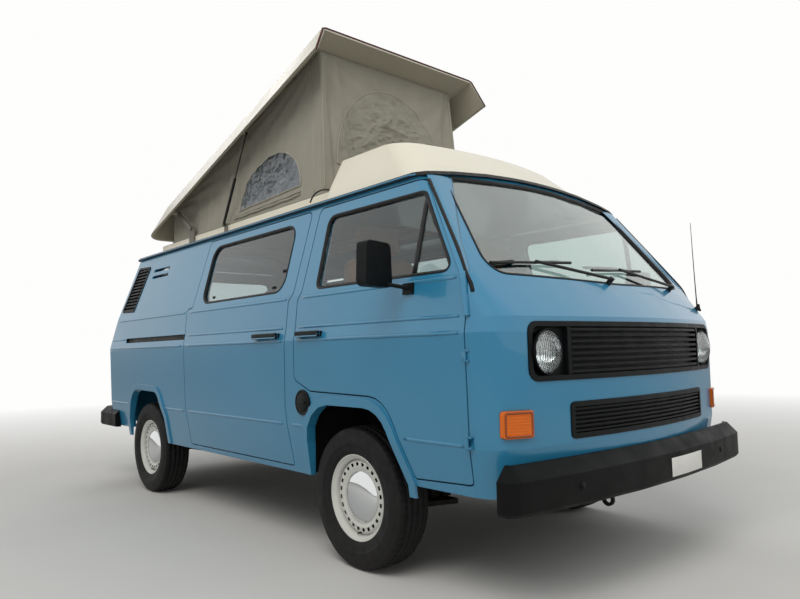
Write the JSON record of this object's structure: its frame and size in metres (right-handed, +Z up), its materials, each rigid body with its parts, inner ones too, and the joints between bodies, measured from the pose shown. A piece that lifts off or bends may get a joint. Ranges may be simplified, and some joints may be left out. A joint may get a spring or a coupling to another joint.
{
  "type": "camper van with a lifting roof",
  "caption": "Forward-control camper van with a front-opening pop-up roof, canvas tent, hinged doors and tailgate, steered front wheels and rolling wheels.",
  "frame": {"origin": "on the ground under the middle of the van's length and width", "axes": "+Z up, nose towards -Y, the van's left side towards +X"},
  "size_m": [2.269, 4.57, 2.835],
  "materials": {
    "body_paint": "gloss",
    "roof_plastic": "satin",
    "dark_rail": "satin",
    "window_glass": "gloss",
    "black_plastic": "matte",
    "lamp_glass": "gloss",
    "orange_lens": "gloss",
    "red_lens": "gloss",
    "seat_cloth": "matte",
    "cabinet_wood": "satin",
    "inner_paint": "matte",
    "underbody_metal": "matte",
    "engine_metal": "matte",
    "dull_metal": "matte",
    "strut_black": "satin",
    "strut_chrome": "polished",
    "tent_canvas": "matte",
    "wheel_paint": "gloss",
    "tyre_rubber": "matte"
  },
  "bodies": {
    "van": {"front_panel": "body_paint", "side_wall_right": "body_paint", "side_wall_left": "body_paint", "rear_frame": "body_paint", "roof_frame": "body_paint", "roof_deck": "roof_plastic", "luggage_tray": "roof_plastic", "drip_rails": "dark_rail", "body_glass": "window_glass", "sliding_door": "body_paint", "front_grilles": "black_plastic", "headlamps": "lamp_glass", "indicators": "orange_lens", "front_bumper": "black_plastic", "rear_bumper": "black_plastic", "tail_lamps": "red_lens", "rear_vents": "black_plastic", "wipers": "black_plastic", "dashboard": "black_plastic", "steering_wheel": "black_plastic", "cab_seats": "seat_cloth", "rear_bench": "seat_cloth", "cabinet": "cabinet_wood", "floor_pan": "inner_paint", "wheel_wells": "inner_paint", "chassis": "underbody_metal", "front_axle": "underbody_metal", "rear_axle": "underbody_metal", "fuel_tank": "underbody_metal", "engine_block": "engine_metal", "exhaust": "dull_metal", "spare_wheel": "dull_metal", "fuel_flap": "black_plastic", "lid_brackets": "underbody_metal", "tent": "tent_canvas"},
    "door_right": {"door_right": "body_paint", "door_glass_right": "window_glass", "mirror_right": "black_plastic"},
    "door_left": {"door_left": "body_paint", "door_glass_left": "window_glass", "mirror_left": "black_plastic"},
    "tailgate": {"tailgate": "body_paint", "tailgate_glass": "window_glass"},
    "knuckle_right": {"knuckle_right": "underbody_metal"},
    "knuckle_left": {"knuckle_left": "underbody_metal"},
    "wheel_front_right": {"rim_front_right": "wheel_paint", "tyre_front_right": "tyre_rubber"},
    "wheel_front_left": {"rim_front_left": "wheel_paint", "tyre_front_left": "tyre_rubber"},
    "wheel_rear_right": {"rim_rear_right": "wheel_paint", "tyre_rear_right": "tyre_rubber"},
    "wheel_rear_left": {"rim_rear_left": "wheel_paint", "tyre_rear_left": "tyre_rubber"},
    "roof_arms": {"roof_arms": "underbody_metal"},
    "roof_lid": {"roof_lid": "roof_plastic"},
    "strut_cylinders": {"strut_cylinders": "strut_black"},
    "strut_rods": {"strut_rods": "strut_chrome"}
  },
  "joints": [
    {"name": "door_right_hinge", "type": "hinge", "parent": "van", "child": "door_right", "pos_m": [-0.925, -1.993, 1], "axis": [0, 0, 1], "range_deg": [0, 68]},
    {"name": "door_left_hinge", "type": "hinge", "parent": "van", "child": "door_left", "pos_m": [0.925, -1.993, 1], "axis": [0, 0, -1], "range_deg": [0, 68]},
    {"name": "tailgate_hinge", "type": "hinge", "parent": "van", "child": "tailgate", "pos_m": [0, 1.846, 1.721], "axis": [1, 0, 0], "range_deg": [0, 88]},
    {"name": "steer_right", "type": "hinge", "parent": "van", "child": "knuckle_right", "pos_m": [-0.71, -1.235, 0.32], "axis": [0, 0, 1], "range_deg": [-33, 33]},
    {"name": "steer_left", "type": "hinge", "parent": "van", "child": "knuckle_left", "pos_m": [0.71, -1.235, 0.32], "axis": [0, 0, 1], "range_deg": [-33, 33]},
    {"name": "spin_front_right", "type": "hinge", "parent": "knuckle_right", "child": "wheel_front_right", "pos_m": [-0.785, -1.235, 0.32], "axis": [1, 0, 0], "continuous": true},
    {"name": "spin_front_left", "type": "hinge", "parent": "knuckle_left", "child": "wheel_front_left", "pos_m": [0.785, -1.235, 0.32], "axis": [1, 0, 0], "continuous": true},
    {"name": "spin_rear_right", "type": "hinge", "parent": "van", "child": "wheel_rear_right", "pos_m": [-0.785, 1.226, 0.32], "axis": [1, 0, 0], "continuous": true},
    {"name": "spin_rear_left", "type": "hinge", "parent": "van", "child": "wheel_rear_left", "pos_m": [0.785, 1.226, 0.32], "axis": [1, 0, 0], "continuous": true},
    {"name": "roof_arm_hinge", "type": "hinge", "parent": "van", "child": "roof_arms", "pos_m": [0, 1.1, 1.946], "axis": [1, 0, 0], "range_deg": [-51.01, 0], "deforming": ["tent"]},
    {"name": "roof_lid_hinge", "type": "hinge", "parent": "roof_arms", "child": "roof_lid", "pos_m": [0, 1.31632, 2.09247], "axis": [1, 0, 0], "range_deg": [0, 67.51], "deforming": ["tent"]},
    {"name": "strut_hinge", "type": "hinge", "parent": "van", "child": "strut_cylinders", "pos_m": [0, 0.55, 1.885], "axis": [1, 0, 0], "range_deg": [0, 57.07]},
    {"name": "strut_slide", "type": "slide", "parent": "strut_cylinders", "child": "strut_rods", "axis": [0, -0.505, 0.8631], "range_m": [-0.30086, 0]}
  ],
  "couplings": [
    {"joint": "steer_left", "follows": "steer_right", "ratio": 1},
    {"joint": "roof_lid_hinge", "follows": "roof_arm_hinge", "ratio": -1.3234},
    {"joint": "strut_hinge", "follows": "roof_arm_hinge", "ratio": -1.1187},
    {"joint": "strut_slide", "follows": "roof_arm_hinge", "m_per_rad": 0.3379}
  ]
}
